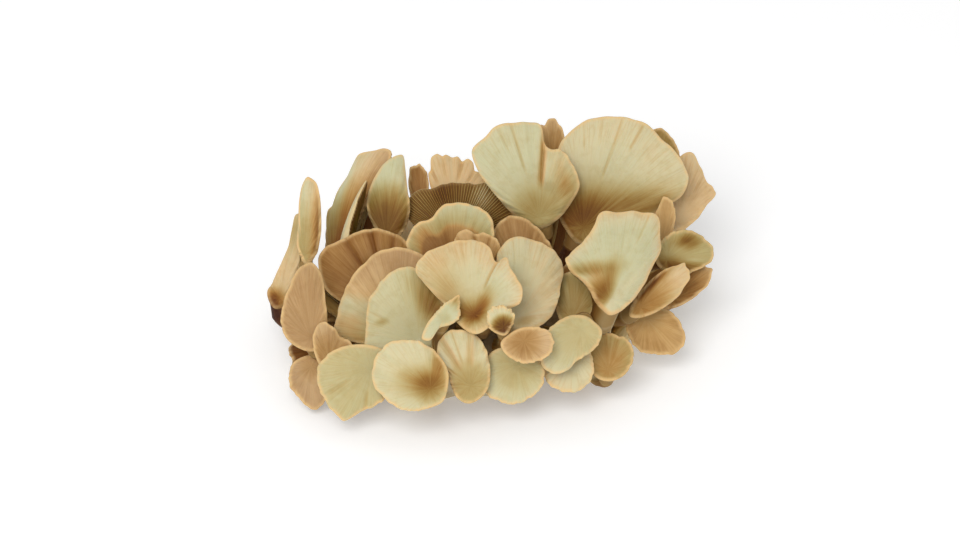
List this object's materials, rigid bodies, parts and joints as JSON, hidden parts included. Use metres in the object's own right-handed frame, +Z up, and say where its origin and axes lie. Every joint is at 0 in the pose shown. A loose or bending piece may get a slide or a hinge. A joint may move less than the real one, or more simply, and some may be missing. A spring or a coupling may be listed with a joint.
{
  "type": "oyster mushroom cluster",
  "caption": "Cluster of oyster mushrooms: thin fan-shaped caps with gills beneath, on stems that rise from one shared base of tissue, standing on its flat cut face.",
  "frame": {"origin": "middle of the pad's flat cut face, on the surface that the cluster stands on", "axes": "+Z up, square to the cut face; +X along the long way of the cluster, towards its end with the highest wide cap; +Y towards the back, away from the side that most caps show their tops to"},
  "size_m": [0.1869, 0.1221, 0.0807],
  "materials": {
    "cap_cream": "matte, pale cream-green flesh with fine radial streaks",
    "cap_tan": "matte, peach to tan flesh with fine radial streaks",
    "cap_pink": "matte, pinkish tan flesh with fine radial streaks",
    "cap_brown": "matte, olive-brown flesh with darker gills",
    "base_tissue": "matte, whitish felted tissue"
  },
  "bodies": {
    "root": {"base": "base_tissue", "top_centre_fan": "cap_cream", "top_right_fan": "cap_cream", "top_small_fan": "cap_tan", "right_front_fan": "cap_cream", "front_centre_fan": "cap_tan", "front_right_fan": "cap_cream", "front_left_fan": "cap_cream", "front_low_fold": "cap_cream", "front_frill": "cap_cream", "left_shingle": "cap_tan", "left_shingle_behind": "cap_tan", "left_end_fan": "cap_pink", "left_low_bud": "cap_pink", "left_tall_fold": "cap_cream", "left_outer_slab": "cap_cream", "left_upper_plate": "cap_tan", "left_blade": "cap_cream", "upper_left_plate": "cap_cream", "upper_peach_fan": "cap_tan", "upper_gilled_fan": "cap_brown", "upper_brown_bud": "cap_brown", "middle_half_moon": "cap_cream", "middle_right_fan": "cap_pink", "middle_crinkle": "cap_tan", "middle_dark_fan": "cap_brown", "right_upper_fan": "cap_tan", "right_rear_fan": "cap_cream", "right_rolled_fan": "cap_brown", "right_curled_blade": "cap_cream", "right_end_wedge": "cap_tan", "right_low_fan": "cap_tan", "right_low_shade": "cap_tan", "right_low_end": "cap_brown", "lower_left_pink": "cap_pink", "lower_left_fan": "cap_cream", "lower_front_fan": "cap_cream", "lower_front_crinkle": "cap_cream", "lower_middle_fan": "cap_cream", "lower_middle_tan": "cap_brown", "lower_right_fan": "cap_cream", "lower_right_yellow": "cap_cream", "lower_right_shade": "cap_brown", "lower_right_olive": "cap_brown", "left_low_end": "cap_tan", "back_left_low": "cap_cream", "left_rear_shade": "cap_brown", "back_middle_low": "cap_tan", "centre_rear_shade": "cap_brown", "back_right_low": "cap_cream", "back_right_end": "cap_pink"}
  },
  "joints": []
}
